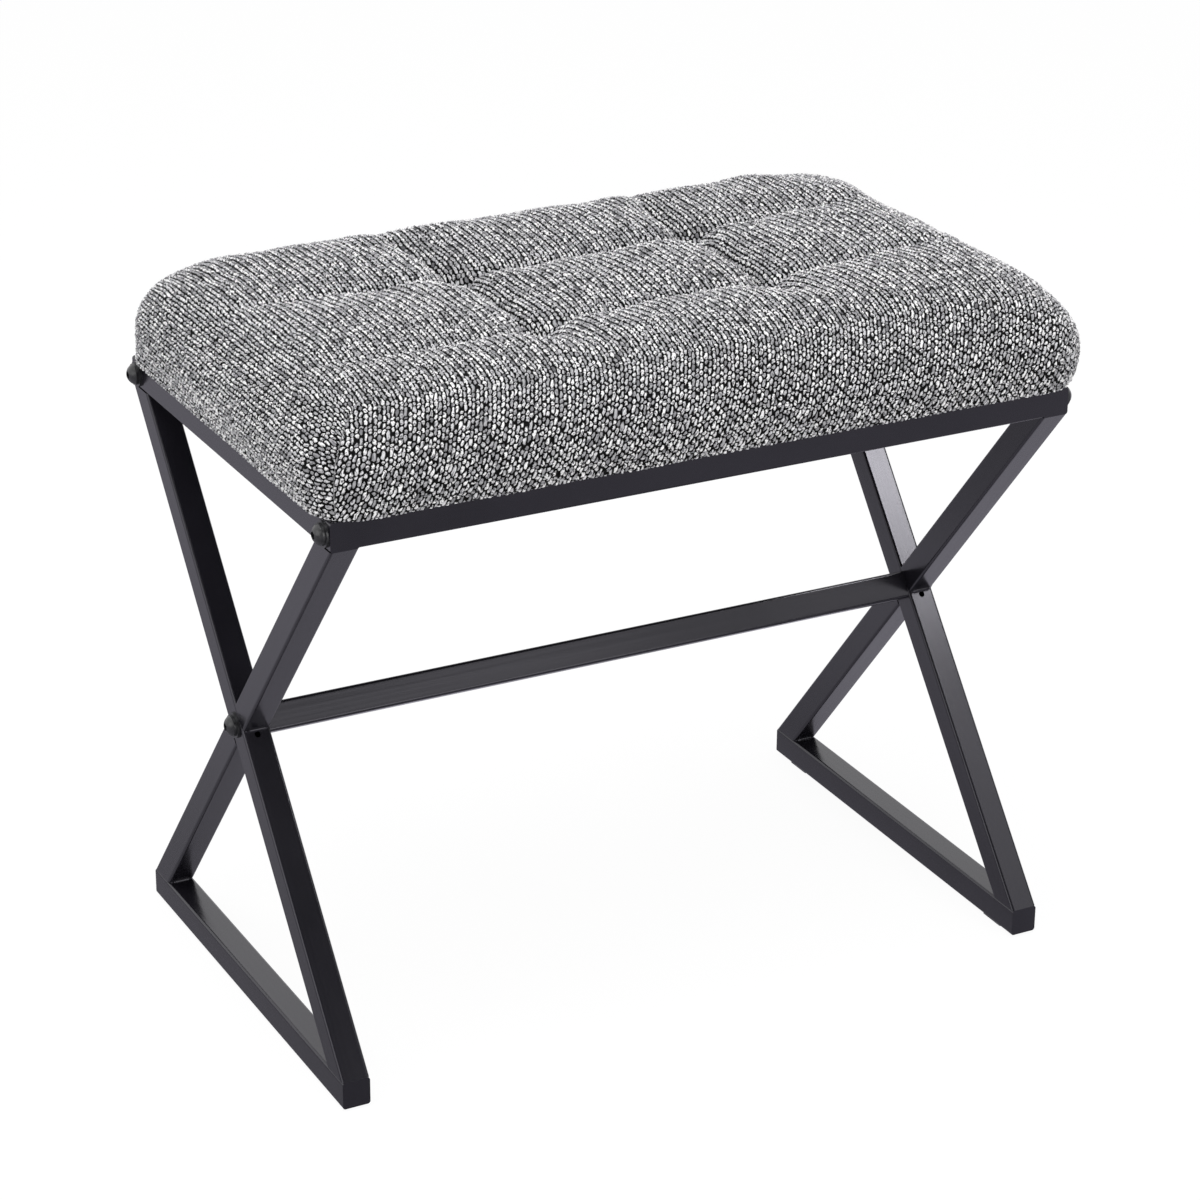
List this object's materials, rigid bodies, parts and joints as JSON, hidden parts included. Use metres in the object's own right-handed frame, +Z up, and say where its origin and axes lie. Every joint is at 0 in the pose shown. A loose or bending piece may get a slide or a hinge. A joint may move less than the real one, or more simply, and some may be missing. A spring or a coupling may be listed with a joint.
{
  "type": "upholstered stool",
  "caption": "Rectangular tufted seat in woven grey fabric on two crossed black steel end frames, joined by two long rails and a stretcher.",
  "frame": {"origin": "on the floor, under the middle of the stool", "axes": "+X along the seat's length, +Y to the back, +Z up"},
  "size_m": [0.574, 0.364, 0.5039],
  "materials": {
    "frame_coat": "satin black powder coat",
    "black_fastener": "blackened steel",
    "zinc_steel": "zinc plated",
    "black_plastic": "moulded, matt",
    "plywood": "raw plywood",
    "foam": "open-cell foam",
    "woven_cover": "knobbly chenille weave in white, grey and near-black",
    "dust_cloth": "thin non-woven cloth",
    "tie_cord": "waxed cord"
  },
  "bodies": {
    "root": {"left_top_bar": "frame_coat", "left_bottom_bar": "frame_coat", "left_through_leg": "frame_coat", "left_upper_half_leg": "frame_coat", "left_lower_half_leg": "frame_coat", "left_end_plates": "frame_coat", "right_top_bar": "frame_coat", "right_bottom_bar": "frame_coat", "right_through_leg": "frame_coat", "right_upper_half_leg": "frame_coat", "right_lower_half_leg": "frame_coat", "right_end_plates": "frame_coat", "front_rail": "frame_coat", "back_rail": "frame_coat", "stretcher": "frame_coat", "rail_plugs": "zinc_steel", "stretcher_plugs": "zinc_steel", "frame_bolts": "black_fastener", "spring_washers": "black_fastener", "flat_washers": "black_fastener", "glides": "black_plastic", "seat_board": "plywood", "tee_nuts": "zinc_steel", "seat_screws": "black_fastener", "foam_pad": "foam", "seat_cover": "woven_cover", "dust_cloth": "dust_cloth", "tuft_ties": "tie_cord", "tuft_anchors": "black_plastic"}
  },
  "joints": []
}
